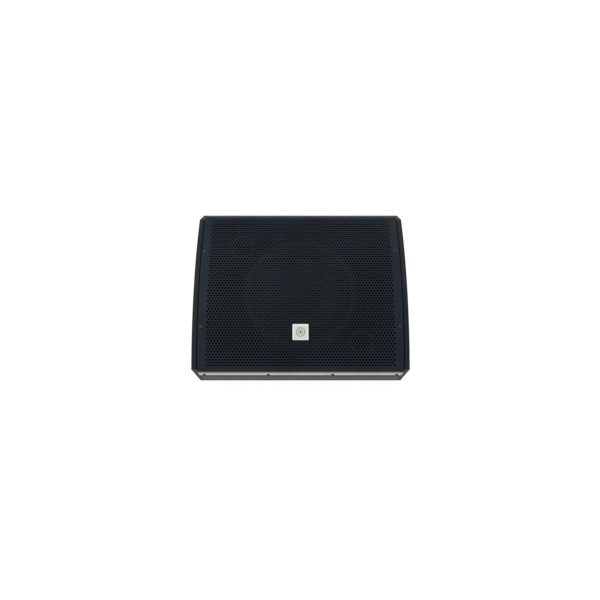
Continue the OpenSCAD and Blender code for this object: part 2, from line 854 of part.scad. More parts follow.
module amp_box() {
    color("#8a8f93") on_rear() difference() {
        translate([-box_w / 2, -box_h / 2, -box_deep]) cube([box_w, box_h, box_deep]);
        translate([-box_w / 2 + box_wall, -box_h / 2 + box_wall, -box_deep + box_wall])
            cube([box_w - 2 * box_wall, box_h - 2 * box_wall, box_deep]);
        for (x = lead_x) translate([x, -box_h / 2 - 1, lead_z]) rotate([-90, 0, 0])
            cylinder(r = lead_r + fit, h = 4, $fn = 32);
    }
}
board_z = -44;
module amp_circuit_board() {
    floor_in = -box_deep + box_wall;
    color("#1d5a34") on_rear(-50, 0) union() {
        translate([-66, -58, board_z]) cube([132, 116, 1.6]);
        for (x = [-60, 60], y = [-52, 52]) {
            translate([x, y, floor_in]) cylinder(r = 3, h = board_z - floor_in + eps, $fn = 24);
        }
        for (x = [-45, -20, 5]) {
            translate([x, 20, board_z + 1]) cylinder(r = 9, h = 22, $fn = 32);
        }
        for (x = [-50, -15, 20]) {
            translate([x, -30, board_z + 1]) cube([22, 12, 16]);
        }
    }
}
module power_transformer() {
    color("#c9b458") on_rear(60, -22) translate([0, 0, -box_deep + box_wall])
        ring(10, 36, 0, 24);
}
module amp_plate_screws() {
    color("#1a1b1d") union() {
        plate_screw_places() translate([0, 0, plate_t])
            pan_screw(3.8, plate_shank_r, plate_screw_len + 1);
        small_screw_places() translate([0, 0, small_head_z])
            sunk_screw(small_head_r, small_shank_r, small_screw_len);
    }
}
module xlr_flange() {
    translate([0, 0, plate_t]) linear_extrude(2) rounded(26, 31, 3);
}
module xlr_body(deep) {
    translate([0, 0, -deep]) cylinder(r = xlr_hole_r, h = deep + plate_t + eps);
}
latch_w = 8;
latch_h = 4;
latch_up = 10.9;
latch_room = 0.4;
module xlr_input() {
    color("#121314") difference() {
        on_rear(xlr_in_at[0], xlr_in_at[1]) difference() {
            union() {
                xlr_flange();
                xlr_body(20);
                translate([0, 0, plate_t]) cylinder(r = 11.2, h = 3);
            }
            translate([0, 0, plate_t - 12]) ring(7.6, 9.4, 0, 20);
            for (a = [0, 180, 270]) {
                rotate([0, 0, a]) translate([4.2, 0, plate_t - 12]) cylinder(r = 1.4, h = 20, $fn = 24);
            }
            translate([-latch_w / 2, latch_up - latch_h / 2, plate_t - 4])
                translate([-latch_room, -latch_room, 0])
                    cube([latch_w + 2 * latch_room, latch_h + 2 * latch_room, 20]);
        }
        small_holes();
    }
}
module xlr_latch() {
    color("#c7cacc") on_rear(xlr_in_at[0], xlr_in_at[1])
        translate([-latch_w / 2, latch_up - latch_h / 2, plate_t - 1.6])
            cube([latch_w, latch_h, 7]);
}
module xlr_link() {
    cup_r = 9.6;
    cup_z = plate_t - 12;
    color("#121314") difference() {
        on_rear(xlr_link_at[0], xlr_link_at[1]) union() {
            difference() {
                union() {
                    xlr_flange();
                    xlr_body(18);
                }
                translate([0, 0, cup_z]) cylinder(r = cup_r, h = 20);
            }
            for (a = [0, 180, 270]) {
                rotate([0, 0, a]) translate([4.2, 0, cup_z - 1]) cylinder(r = 1.2, h = 11, $fn = 24);
            }
        }
        small_holes();
    }
}
module mains_inlet() {
    cup_w = 24;
    cup_h = 16.5;
    deep = 15;
    color("#101112") difference() {
        on_rear(inlet_at[0], inlet_at[1]) union() {
            difference() {
                union() {
                    translate([0, 0, plate_t]) linear_extrude(2) rounded(48, 24, 3);
                    translate([-inlet_w / 2, -inlet_h / 2, -18])
                        cube([inlet_w, inlet_h, 18 + plate_t + eps]);
                }
                translate([-cup_w / 2, -cup_h / 2, plate_t + 2 - deep])
                    cube([cup_w, cup_h, deep + 1]);
            }
            for (p = [[-7, 0], [7, 0], [0, 4]]) {
                translate([p[0] - 1, p[1] - 2, plate_t + 1 - deep]) cube([2, 4, 12]);
            }
        }
        small_holes();
    }
}
rocker_w = 16.6;
rocker_half = 11.5;
pivot_z = 3;
pin_r = 1.2;
well_w = 17.4;
well_h = 25.2;
module switch_bezel() {
    color("#101112") on_rear(switch_at[0], switch_at[1]) difference() {
        union() {
            translate([0, 0, plate_t]) linear_extrude(2.6) rounded(24, 31, 2);
            translate([-switch_w / 2, -switch_h / 2, -14])
                cube([switch_w, switch_h, 14 + plate_t + eps]);
        }
        translate([-well_w / 2, -well_h / 2, -8]) cube([well_w, well_h, 20]);
        translate([-well_w / 2 - 1, 0, pivot_z]) rotate([0, 90, 0])
            cylinder(r = pin_r + 0.05, h = well_w + 2, $fn = 32);
    }
}
module power_rocker() {
    color("#8e1b1b") on_rear(switch_at[0], switch_at[1]) translate([0, 0, pivot_z]) union() {
        rotate([90, 0, 90]) translate([0, 0, -rocker_w / 2]) rotate([0, 0, -rocker_tilt / 2])
            linear_extrude(rocker_w) polygon([
                [-rocker_half + 1, -5], [-rocker_half, 4.2], [0, 2.4], [rocker_half, 4.2],
                [rocker_half - 1, -5]
            ]);
        translate([-well_w / 2 - 0.8, 0, 0]) rotate([0, 90, 0])
            cylinder(r = pin_r, h = well_w + 1.6, $fn = 32);
    }
}
module level_control() {
    color("#8a8f93") on_rear(knob_at[0], knob_at[1]) difference() {
        union() {
            translate([0, 0, -11]) cylinder(r = 8.5, h = 11);
            translate([0, 0, -eps]) cylinder(r = 3.9, h = plate_t + 2.6);
            translate([0, 0, plate_t]) cylinder(r = 5.6, h = 2, $fn = 6);
        }
        translate([0, 0, -10]) cylinder(r = pot_r + 0.05, h = 20, $fn = 32);
    }
}
knob_h = 13;
module level_knob() {
    skirt = plate_t + 1;
    top = skirt + knob_h;
    color("#17181a") on_rear(knob_at[0], knob_at[1]) difference() {
        rotate_extrude() polygon([
            [0, -9], [pot_r, -9], [pot_r, skirt + 3.6], [6.6, skirt + 3.6], [6.6, skirt],
            [knob_r + 1, skirt], [knob_r + 1, skirt + 2], [knob_r, skirt + 2.4],
            [knob_r - 1, top - 0.6], [knob_r - 1.6, top], [0, top]
        ]);
        for (i = [0:17]) {
            rotate([0, 0, i * 20 + 10]) translate([knob_r + 0.2, 0, skirt + 3])
                cylinder(r = 0.8, h = knob_h, $fn = 16);
        }
        translate([-0.6, knob_r - 6, top - 0.5]) cube([1.2, 8, 2]);
    }
}
module push_button() {
    translate([0, 0, -7]) linear_extrude(7 + plate_t + 4.5)
        square(button_w, center = true);
}
module contour_button() {
    color("#b9bcbe") on_rear(contour_at[0], contour_at[1]) push_button();
}
module ground_lift_button() {
    color("#b9bcbe") on_rear(lift_at[0], lift_at[1]) push_button();
}
module push_switches() {
    color("#8a8f93") for (at = [contour_at, lift_at]) {
        on_rear(at[0], at[1]) difference() {
            translate([-6, -6, -14]) cube([12, 12, 14]);
            translate([-4, -4, -7 - button_travel - 0.6]) cube([8, 8, 20]);
        }
    }
}
module status_lamps() {
    color("#3fbf5a") for (i = [0:2]) {
        on_rear(lamps_at[0] + i * lamp_step, lamps_at[1]) union() {
            translate([0, 0, -5]) cylinder(r = lamp_r, h = 5 + plate_t + 0.6, $fn = 32);
            translate([0, 0, plate_t + 0.6]) intersection() {
                sphere(r = lamp_r, $fn = 32);
                translate([-5, -5, 0]) cube(10);
            }
        }
    }
}

// ---- speaker leads: two tubes swept along smooth curves ----

lead_r = 2.5;
lead_x = [-24, 40];
lead_z = -42;
lead_rings = 18;
function bezier(p, t) =
    pow(1 - t, 3) * p[0] + 3 * t * pow(1 - t, 2) * p[1]
    + 3 * t * t * (1 - t) * p[2] + pow(t, 3) * p[3];
function ring_at(p, t) =
    let (
        ahead = unit(bezier(p, min(t + 0.01, 1)) - bezier(p, max(t - 0.01, 0))),
        side = unit(cross(ahead, [1, 0.2, 0.3])),
        up = cross(side, ahead)
    )
    [for (k = [0:7]) bezier(p, t) + lead_r * (cos(k * 45) * side + sin(k * 45) * up)];
module lead(p) {
    rings = [for (i = [0:lead_rings]) ring_at(p, i / lead_rings)];
    polyhedron(
        points = [for (r = rings, q = r) q],
        faces = concat(
            [[for (k = [0:7]) k]],
            [for (i = [0:lead_rings - 1], k = [0:7])
                [8 * i + k, 8 * (i + 1) + k, 8 * (i + 1) + (k + 1) % 8, 8 * i + (k + 1) % 8]],
            [[for (k = [7:-1:0]) 8 * lead_rings + k]]
        )
    );
}
module speaker_leads() {
    box_bottom = base_z + plate_up - box_h / 2;
    lead_y = rear_y + lead_z;
    // middle of the compression driver's back, and the terminal on the basket's side
    cap = baffle_mid + face_out * (magnet_z[3] - 50);
    tag = baffle_mid - face_out * 30;
    color("#2c2c2e") union() {
        lead([
            [-lead_x[1], lead_y, box_bottom + 3], [-lead_x[1], lead_y + 4, box_bottom - 60],
            [0, cap[0] - face_out[0] * 45, cap[1] - face_out[1] * 45], [0, cap[0], cap[1]]
        ]);
        lead([
            [-lead_x[0], lead_y, box_bottom + 3], [-lead_x[0], lead_y + 4, box_bottom - 60],
            [tag_x + 60, tag[0], tag[1]], [tag_x + 0.3, tag[0], tag[1]]
        ]);
    }
}
module damping_mat() {
    mat_w = inner_w - 60;
    mat_front = heel[0] + 30;
    color("#9a9a92") translate([-mat_w / 2, mat_front, floor_z])
        cube([mat_w, batten_y - 5 - mat_front, felt_t]);
}

left_cheek();
right_cheek();
base_panel();
kick_panel();
baffle_board();
top_panel();
rear_panel();
rear_cleats();
grille_cleats();
grille();
grille_gasket_lower();
grille_gasket_upper();
grille_side_tapes();
grille_screws();
badge();
port_tube_lower();
port_tube_upper();
woofer_basket();
woofer_gasket();
woofer_screws();
surround();
woofer_cone();
dust_screen();
voice_coil();
spider();
magnet_front_plate();
ferrite_magnet();
magnet_back_plate();
hf_horn();
compression_driver();
woofer_terminals();
handle_cup_left();
handle_cup_right();
handle_grip_left();
handle_grip_right();
handle_screws();
pole_socket();
pole_socket_screws();
rubber_feet();
feet_screws();
amp_plate();
amp_heatsink();
amp_box();
amp_circuit_board();
power_transformer();
amp_plate_screws();
xlr_input();
xlr_latch();
xlr_link();
mains_inlet();
switch_bezel();
power_rocker();
level_control();
level_knob();
contour_button();
ground_lift_button();
push_switches();
status_lamps();
speaker_leads();
damping_mat();
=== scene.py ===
import bpy
import bmesh
import json
import math
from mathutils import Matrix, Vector


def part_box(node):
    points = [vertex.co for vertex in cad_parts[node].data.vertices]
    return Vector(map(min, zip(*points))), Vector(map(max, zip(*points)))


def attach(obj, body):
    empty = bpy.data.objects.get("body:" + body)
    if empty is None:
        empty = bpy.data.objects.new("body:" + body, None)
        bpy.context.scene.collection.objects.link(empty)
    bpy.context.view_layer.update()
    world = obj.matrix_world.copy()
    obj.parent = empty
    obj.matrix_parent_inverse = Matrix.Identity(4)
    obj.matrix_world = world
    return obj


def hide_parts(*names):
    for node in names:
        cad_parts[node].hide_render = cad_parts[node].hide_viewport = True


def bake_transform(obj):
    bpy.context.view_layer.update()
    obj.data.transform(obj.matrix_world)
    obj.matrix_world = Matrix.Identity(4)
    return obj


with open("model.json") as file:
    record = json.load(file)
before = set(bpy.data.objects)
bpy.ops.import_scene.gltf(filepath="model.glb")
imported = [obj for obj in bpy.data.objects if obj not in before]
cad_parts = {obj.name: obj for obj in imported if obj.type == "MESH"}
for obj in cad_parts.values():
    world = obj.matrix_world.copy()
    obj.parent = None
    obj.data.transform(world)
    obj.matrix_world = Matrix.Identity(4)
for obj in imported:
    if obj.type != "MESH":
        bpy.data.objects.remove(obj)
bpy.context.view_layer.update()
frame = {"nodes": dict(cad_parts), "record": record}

MM = 0.001
# how far the painted shadow under the grille's flange reaches down the kick face from its top
# edge
PAINTED_SHADOW_REACH = 84 * MM
# below the front corner: where the flange's painted reflection is full, and where it ends
PAINTED_REFLECTION_FULL = 26 * MM
PAINTED_REFLECTION_END = 7 * MM
# around the level knob: the ring that holds the plate's grooves
DIAL_INNER = 12 * MM
DIAL_OUTER = 18 * MM
# the badge's paler rim, from the edge: where it starts across and up, and where it is full
RIM_START = 3.4 * MM
RIM_START_UP = 3.2 * MM
RIM_FULL = 2.2 * MM

# ---- the cabinet's side view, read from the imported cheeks, as (back, up) ----

def side(y, z):
    return Vector((y, z))


def unit(v):
    return v / v.length


def turn_left(v):
    return Vector((-v.y, v.x))


def angle_of(v):
    return math.atan2(v.y, v.x)


def ray(a):
    return Vector((math.cos(a), math.sin(a)))


def leave(centre, radius, p, u):
    """Where the line through p along u leaves the circle."""
    w = p - centre
    b = w.dot(u)
    return p + u * (math.sqrt(b * b - w.dot(w) + radius * radius) - b)


def cheek_corners():
    """Heel, front corner, crest and tail of the cheek's outline, and the curve's radius."""
    points = [side(v.co.y, v.co.z) for v in frame["nodes"]["right_cheek"].data.vertices]
    low = min(p.y for p in points)
    back = max(p.x for p in points)
    heel = min((p for p in points if p.y < low + 1e-5), key=lambda p: p.x)
    corner = min(points, key=lambda p: p.x)
    crest = max(points, key=lambda p: p.y)
    tail = max((p for p in points if p.x > back - 1e-5), key=lambda p: p.y)
    chord = crest - corner
    out = turn_left(unit(chord))
    rise = max((p - corner).dot(out) for p in points)
    radius = (chord.length ** 2 / 4 + rise ** 2) / (2 * rise)
    middle = (corner + crest) / 2 - out * (radius - rise)
    return heel, corner, crest, tail, radius, middle


heel, corner, crest, tail, face_r, face_c = cheek_corners()
kick_up = unit(corner - heel)
kick_out = turn_left(kick_up)
crest_up = unit(crest - tail)
crest_out = -turn_left(crest_up)
face_up = unit(crest - corner)
face_out = turn_left(face_up)


def spot(x, p):
    return Vector((x, p.x, p.y))


# ---- shader maths as plain expressions ----

class Value:
    """One socket in a finish's node tree."""

    def __init__(self, finish, socket):
        self.finish = finish
        self.socket = socket

    def join(self, operation, a, b):
        return self.finish.node("ShaderNodeMath", {"operation": operation}, [a, b])

    def __add__(self, other):
        return self.join("ADD", self, other)

    def __radd__(self, other):
        return self.join("ADD", other, self)

    def __sub__(self, other):
        return self.join("SUBTRACT", self, other)

    def __rsub__(self, other):
        return self.join("SUBTRACT", other, self)

    def __mul__(self, other):
        return self.join("MULTIPLY", self, other)

    def __rmul__(self, other):
        return self.join("MULTIPLY", other, self)

    def __gt__(self, other):
        return self.join("GREATER_THAN", self, other)

    def between(self, low, high):
        """0 below low, 1 above high, and smooth between them."""
        return self.finish.node(
            "ShaderNodeMapRange", {"interpolation_type": "SMOOTHSTEP"},
            {"Value": self, "From Min": low, "From Max": high}
        )


class Finish:
    """A material and the shorthand to build its nodes."""

    def __init__(self, name):
        self.material = bpy.data.materials.new(name)
        self.material.use_nodes = True
        self.tree = self.material.node_tree
        self.shader = self.tree.nodes["Principled BSDF"]
        self.place = self.node("ShaderNodeTexCoord", {}, {}, "Object")

    def node(self, kind, settings, inputs, output=0):
        """A new node: its settings first, then its input sockets by name or by number."""
        made = self.tree.nodes.new(kind)
        for key, value in settings.items():
            setattr(made, key, value)
        pairs = inputs.items() if isinstance(inputs, dict) else enumerate(inputs)
        for key, value in pairs:
            self.feed(made.inputs[key], value)
        return Value(self, made.outputs[output])

    def feed(self, socket, value):
        if isinstance(value, Value):
            self.tree.links.new(value.socket, socket)
        else:
            socket.default_value = value

    def noise(self, scale, detail=3.0, rough=0.5, stretch=None):
        """Noise with this many features to a metre."""
        place = self.place
        if stretch:
            place = self.node("ShaderNodeVectorMath", {"operation": "MULTIPLY"}, [place, stretch])
        return self.node(
            "ShaderNodeTexNoise", {},
            {"Vector": place, "Scale": scale, "Detail": detail, "Roughness": rough}
        )

    def cells(self, scale):
        """Distance to the middle of the nearest of many cells, with this many to a metre."""
        return self.node(
            "ShaderNodeTexVoronoi", {"feature": "F1"},
            {"Vector": self.place, "Scale": scale, "Randomness": 1.0}
        )

    def absolute(self, value):
        return self.node("ShaderNodeMath", {"operation": "ABSOLUTE"}, [value, 0.0])

    def axis(self, index):
        """One coordinate of the place on the surface, in metres."""
        return self.node("ShaderNodeSeparateXYZ", {}, [self.place], index)

    def mix(self, factor, a, b):
        """Colour a where factor is 0 and colour b where it is 1."""
        first, second = (c if isinstance(c, Value) else (*c, 1) for c in (a, b))
        # the node's colour sockets come after those for numbers and for vectors
        inputs = {0: factor, 6: first, 7: second}
        return self.node("ShaderNodeMix", {"data_type": "RGBA"}, inputs, 2)

    def bump(self, height, distance, strength=1.0):
        """A normal that is raised by up to distance, in metres."""
        inputs = {"Height": height, "Distance": distance, "Strength": strength}
        return self.node("ShaderNodeBump", {}, inputs)

    def painted_shadow_band(self):
        """1 where the kick face gets its painted shadow: a near-black band under the flange and
        just below it.
        """
        height = self.axis(2)
        start = corner.y - kick_up.y * PAINTED_SHADOW_REACH
        return height.between(start - 1 * MM, start + 1 * MM)

    def dial_grooves(self):
        """1 on the floors of the grooves cut in the amplifier's plate round its knob."""
        low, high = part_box("level_knob")
        across = self.axis(0) - (low.x + high.x) / 2
        up = self.axis(2) - (low.z + high.z) / 2
        from_axis = self.node(
            "ShaderNodeMath", {"operation": "SQRT"}, [across * across + up * up, 0.0]
        )
        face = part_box("amp_plate")[1].y
        sunk = (self.axis(1) * -1 > 0.15 * MM - face) * (self.axis(1) > face - 0.5 * MM)
        return sunk * (from_axis > DIAL_INNER) * (from_axis * -1 > -DIAL_OUTER)

    def set(self, **sockets):
        """Feeds the shader's sockets; a name's underscores are spaces."""
        for key, value in sockets.items():
            if isinstance(value, tuple) and len(value) == 3:
                value = (*value, 1)
            self.feed(self.shader.inputs[key.replace("_", " ")], value)
        return self


# ---- finishes ----

def cabinet_paint(name, colour, gloss=0.5, grain=1.0, shine=0.2, patch=None):
    """Sprayed structure paint: a fine pebbled skin with faint scuffs.

    A patch is a second colour over the paint, such as printed ink or a painted shadow, as its
    mask, its colour and how much rougher it is.
    """
    f = Finish(name)
    f.set(Specular_IOR_Level=shine)
    pebbles = f.noise(420, 2, 0.55)
    skin = f.noise(1500, 2, 0.5)
    cloud = f.noise(9, 3, 0.6)
    scuff = f.noise(34, 6, 0.72, (1, 0.35, 1)).between(0.64, 0.74)
    light = tuple(1.9 * c + 0.004 for c in colour)
    dark = tuple(0.72 * c for c in colour)
    base = f.mix(cloud.between(0.3, 0.7), dark, colour)
    base = f.mix(pebbles.between(0.52, 0.72) * 0.35, base, light)
    base = f.mix(scuff * 0.3, base, light)
    rough = gloss + 0.12 * cloud + 0.1 * scuff
    if patch:
        mask, second_colour, rougher = patch
        covered = mask(f)
        base = f.mix(covered, base, second_colour)
        rough = rough + rougher * covered
    height = pebbles * 0.75 + skin * 0.25
    return f.set(
        Base_Color=base, Roughness=rough,
        Normal=f.bump(height, 0.35 * MM * grain, 0.8)
    )


def powder_coat():
    """Powder-coated steel; the folded lower flange gets a lighter metallic colour, a painted
    reflection of the bright floor that fades in over the fold.
    """
    f = Finish("grille_powder_coat")
    peel = f.noise(900, 2, 0.5)
    cloud = f.noise(7, 3, 0.6)
    streak = f.noise(26, 4, 0.6, (1, 0.1, 0.1))
    facing = f.node("ShaderNodeNewGeometry", {}, {}, "True Normal")
    lean = f.node("ShaderNodeSeparateXYZ", {}, [facing], 2)
    height = f.axis(2)
    # the painted reflection lies low down, where the flange faces the floor
    low_down = 1 - height.between(corner.y - PAINTED_REFLECTION_FULL, corner.y - PAINTED_REFLECTION_END)
    flange = low_down * (lean * -1 > 0.3)
    base = f.mix(cloud.between(0.3, 0.72), (0.0058, 0.0105, 0.0152), (0.009, 0.015, 0.0212))
    base = f.mix(peel.between(0.55, 0.75) * 0.3, base, (0.03, 0.04, 0.05))
    # painted reflection: a lighter, streaked metallic colour on the flange
    painted_reflection = f.mix(streak.between(0.35, 0.7), (0.37, 0.355, 0.385), (0.44, 0.425, 0.455))
    base = f.mix(flange, base, painted_reflection)
    return f.set(
        Base_Color=base, Roughness=0.42 + 0.1 * cloud - 0.12 * flange,
        Metallic=0.85 * flange, Normal=f.bump(peel, 0.12 * MM, 0.6), Specular_IOR_Level=0.16
    )


def moulded(name, colour, gloss=0.45, grain=1.0, tint=1.5):
    """Moulded plastic with a fine spark-eroded grain."""
    f = Finish(name)
    grit = f.noise(2200, 2, 0.6)
    cloud = f.noise(18, 3, 0.6)
    base = f.mix(cloud.between(0.3, 0.7), colour, tuple(tint * c for c in colour))
    return f.set(
        Base_Color=base, Roughness=gloss + 0.1 * grit,
        Normal=f.bump(grit, 0.06 * MM * grain, 0.6)
    )


def metal(name, colour, gloss=0.3, brushed=(1, 1, 1), coat=False):
    """Bare or plated metal, with brushing along the axis whose stretch is small."""
    f = Finish(name)
    lines = f.noise(900, 3, 0.6, brushed)
    stain = f.noise(22, 4, 0.6)
    base = f.mix(stain.between(0.35, 0.7), colour, tuple(0.78 * c for c in colour))
    return f.set(
        Base_Color=base, Metallic=0.0 if coat else 1.0,
        Roughness=gloss + 0.14 * lines + 0.08 * stain,
        Normal=f.bump(lines, 0.03 * MM, 0.5)
    )


def soft_rubber(name, colour, gloss=0.62):
    f = Finish(name)
    grit = f.noise(1300, 3, 0.6)
    dust = f.noise(40, 5, 0.7).between(0.5, 0.75)
    base = f.mix(dust * 0.5, colour, tuple(2.2 * c + 0.004 for c in colour))
    return f.set(
        Base_Color=base, Roughness=gloss + 0.15 * dust, Normal=f.bump(grit, 0.1 * MM, 0.7)
    )


def open_foam(name, colour):
    f = Finish(name)
    pores = f.cells(900)
    base = f.mix(pores.between(0.1, 0.6), tuple(0.3 * c for c in colour), colour)
    return f.set(
        Base_Color=base, Roughness=0.95 - 0.1 * pores, Normal=f.bump(pores, 0.4 * MM, 1.0)
    )


def cloth(name, colour, pitch=0.8 * MM):
    """Plain weave across X and up the baffle."""
    f = Finish(name)
    turns = 2 * math.pi / pitch
    threads = []
    for index in (0, 1):
        threads.append(f.node(
            "ShaderNodeMath", {"operation": "SINE"}, [f.axis(index) * turns, 0.0]
        ))
    weave = threads[0] * threads[1]
    fuzz = f.noise(300, 4, 0.6)
    base = f.mix(weave.between(-0.6, 0.8), tuple(0.45 * c for c in colour), colour)
    return f.set(
        Base_Color=base, Roughness=0.85 + 0.1 * fuzz,
        Normal=f.bump(weave + fuzz * 0.5, 0.1 * MM, 0.8)
    )


def pulp(name, colour):
    """Pressed paper: fibres and flecks."""
    f = Finish(name)
    fibre = f.noise(240, 6, 0.7, (1, 0.4, 1))
    fleck = f.noise(1100, 2, 0.5).between(0.6, 0.72)
    base = f.mix(fibre.between(0.35, 0.7), tuple(0.6 * c for c in colour), colour)
    base = f.mix(fleck * 0.4, base, tuple(2 * c for c in colour))
    return f.set(
        Base_Color=base, Roughness=0.6 + 0.2 * fibre, Normal=f.bump(fibre, 0.2 * MM, 0.8)
    )


def timber(name, light, dark):
    f = Finish(name)
    rings = f.noise(60, 5, 0.65, (6, 6, 0.5))
    pore = f.noise(700, 3, 0.6, (4, 4, 0.3))
    base = f.mix(rings.between(0.3, 0.72), light, dark)
    return f.set(
        Base_Color=base, Roughness=0.6 + 0.2 * pore, Normal=f.bump(pore, 0.15 * MM, 0.7)
    )


def wadding(name, colour):
    f = Finish(name)
    tufts = f.noise(160, 8, 0.8)
    base = f.mix(tufts.between(0.3, 0.7), tuple(0.55 * c for c in colour), colour)
    return f.set(Base_Color=base, Roughness=0.95 - 0.05 * tufts,
                 Normal=f.bump(tufts, 1.5 * MM, 1.0))


def wound_wire(name, colour):
    """Lacquered copper wire wound side by side."""
    f = Finish(name)
    turns = f.node("ShaderNodeTexWave", {"bands_direction": "Z"},
                   {"Vector": f.place, "Scale": 400.0, "Distortion": 0.4})
    stain = f.noise(60, 3, 0.6)
    base = f.mix(stain.between(0.3, 0.7), colour, tuple(0.7 * c for c in colour))
    return f.set(
        Base_Color=base, Metallic=0.9, Roughness=0.3 + 0.15 * stain,
        Normal=f.bump(turns, 0.15 * MM, 0.8)
    )


def lamp_glass():
    f = Finish("lamp_lens_green")
    haze = f.noise(500, 2, 0.5)
    base = f.mix(haze.between(0.3, 0.7), (0.03, 0.3, 0.07), (0.05, 0.42, 0.1))
    return f.set(Base_Color=base, Roughness=0.12 + 0.06 * haze, Coat_Weight=0.6,
                 Normal=f.bump(haze, 0.02 * MM, 0.4))


def badge_lacquer():
    """Cream lacquer on a stamped plate, a little marbled, with a paler worn edge."""
    f = Finish("badge_cream")
    cloud = f.noise(60, 4, 0.6)
    grit = f.noise(1600, 2, 0.5)
    base = f.mix(cloud.between(0.3, 0.7), (0.56, 0.625, 0.51), (0.62, 0.685, 0.57))
    low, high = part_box("badge")
    half_w, half_h = high.x, (high.z - low.z) / 2
    across = f.absolute(f.axis(0))
    up = f.absolute(f.axis(2) - (low.z + high.z) / 2)
    rim_x = across.between(half_w - RIM_START, half_w - RIM_FULL)
    rim_z = up.between(half_h - RIM_START_UP, half_h - RIM_FULL)
    rim = f.node("ShaderNodeMath", {"operation": "MAXIMUM"}, [rim_x, rim_z])
    base = f.mix(rim, base, (0.82, 0.86, 0.79))
    return f.set(Base_Color=base, Roughness=0.34 + 0.1 * cloud,
                 Normal=f.bump(grit, 0.03 * MM, 0.5))


def badge_ink():
    """Dark print, thin in places."""
    f = Finish("badge_print")
    worn = f.noise(900, 4, 0.7)
    base = f.mix(worn.between(0.5, 0.75), (0.03, 0.035, 0.03), (0.1, 0.115, 0.095))
    return f.set(Base_Color=base, Roughness=0.4 + 0.2 * worn,
                 Normal=f.bump(worn, 0.02 * MM, 0.5))


FINISHES = {
    "painted_ply": cabinet_paint("cabinet_black_paint", (0.0138, 0.0168, 0.0208), 0.55, 1, 0.15),
    # the kick face's colour is a lighter, purple-grey copy of the cabinet's black paint: a
    # painted sheen of the bright floor
    "kick_paint": cabinet_paint("kick_face_painted_sheen_and_shadow", (0.03, 0.029, 0.034), 0.46, 0.6, 0.22,
                                # the patch is a painted shadow: near-black under the grille's
                                # flange and just below it
                                (Finish.painted_shadow_band, (0.0015, 0.0015, 0.0017), 0.5)),
    "grille_steel": powder_coat(),
    "foam": open_foam("black_foam", (0.003, 0.003, 0.0033)),
    "black_screw": metal("black_oxide_screw", (0.02, 0.021, 0.023), 0.32, coat=True),
    "badge_plate": badge_lacquer(),
    "baffle_paint": cabinet_paint("baffle_matt_paint", (0.0015, 0.0016, 0.0018), 0.85, 0.7, 0.05),
    "tube_plastic": moulded("port_plastic", (0.012, 0.012, 0.013), 0.5),
    "basket_steel": metal("frame_paint", (0.007, 0.0073, 0.008), 0.5, coat=True),
    "grey_gasket": pulp("grey_board_gasket", (0.0115, 0.0123, 0.014)),
    "surround_cloth": cloth("doped_cloth_surround", (0.0065, 0.0065, 0.0072)),
    "cone_paper": pulp("grey_paper_cone", (0.0125, 0.0136, 0.0155)),
    "screen_cloth": cloth("black_dust_cloth", (0.0055, 0.0055, 0.0062), 0.5 * MM),
    "coil_copper": wound_wire("coil_wire", (0.72, 0.36, 0.16)),
    "spider_cloth": cloth("resin_cloth_spider", (0.5, 0.32, 0.1), 1.2 * MM),
    "plain_steel": metal("zinc_plated_steel", (0.55, 0.56, 0.58), 0.3),
    "ferrite": moulded("ferrite_block", (0.05, 0.052, 0.056), 0.6),
    "horn_plastic": moulded("horn_plastic", (0.0055, 0.0055, 0.0062), 0.45),
    "driver_can": metal("black_cast_can", (0.02, 0.021, 0.024), 0.4, coat=True),
    "terminal_brass": metal("brass_tabs", (0.75, 0.56, 0.24), 0.25),
    "handle_plastic": moulded("handle_cup_plastic", (0.011, 0.0112, 0.0125), 0.5, 2.0),
    "handle_steel": metal("grip_bar_coat", (0.022, 0.023, 0.026), 0.3, coat=True),
    "socket_steel": metal("socket_black_steel", (0.014, 0.0145, 0.016), 0.38, coat=True),
    "foot_rubber": soft_rubber("foot_rubber", (0.011, 0.011, 0.012)),
    "zinc_screw": metal("zinc_screw", (0.6, 0.6, 0.62), 0.28),
    "plate_paint": cabinet_paint("amplifier_plate_paint", (0.016, 0.0165, 0.018), 0.42, 0.25,
                                 0.2, (Finish.dial_grooves, (0.62, 0.62, 0.6), 0.0)),
    "sink_aluminium": metal("black_anodised_fins", (0.018, 0.0185, 0.021), 0.3,
                            (1, 1, 0.05), coat=True),
    "box_steel": metal("galvanised_box", (0.58, 0.6, 0.62), 0.32),
    "board_fibre": moulded("circuit_board", (0.02, 0.11, 0.045), 0.35),
    "copper_ring": wound_wire("transformer_winding", (0.72, 0.4, 0.18)),
    "connector_plastic": moulded("connector_plastic", (0.011, 0.011, 0.012), 0.34),
    "latch_nickel": metal("nickel_latch", (0.72, 0.71, 0.69), 0.22),
    "rocker_plastic": moulded("red_rocker_plastic", (0.28, 0.012, 0.01), 0.22),
    "pot_metal": metal("control_zinc", (0.56, 0.57, 0.59), 0.3),
    "knob_plastic": moulded("knob_soft_plastic", (0.013, 0.013, 0.015), 0.5),
    "button_plastic": moulded("button_grey_plastic", (0.33, 0.34, 0.36), 0.35, tint=1.15),
    "switch_plastic": moulded("switch_plastic", (0.06, 0.06, 0.065), 0.4),
    "lamp_lens": lamp_glass(),
    "lead_sheath": soft_rubber("lead_sheath", (0.016, 0.016, 0.018), 0.5),
    "batten_pine": timber("raw_pine", (0.5, 0.32, 0.13), (0.36, 0.2, 0.07)),
    "felt": wadding("grey_felt", (0.28, 0.28, 0.27)),
}
SLOT_OF = {s["node"]: s["material_slot"] for s in frame["record"]["subparts"]}
BODY_OF = {
    n: body
    for body, nodes in frame["record"]["behaviour"]["bodies"].items() for n in nodes
}


# ---- pieces ----

def dress(obj, slot_name):
    obj.data.materials.clear()
    obj.data.materials.append(FINISHES[slot_name].material)


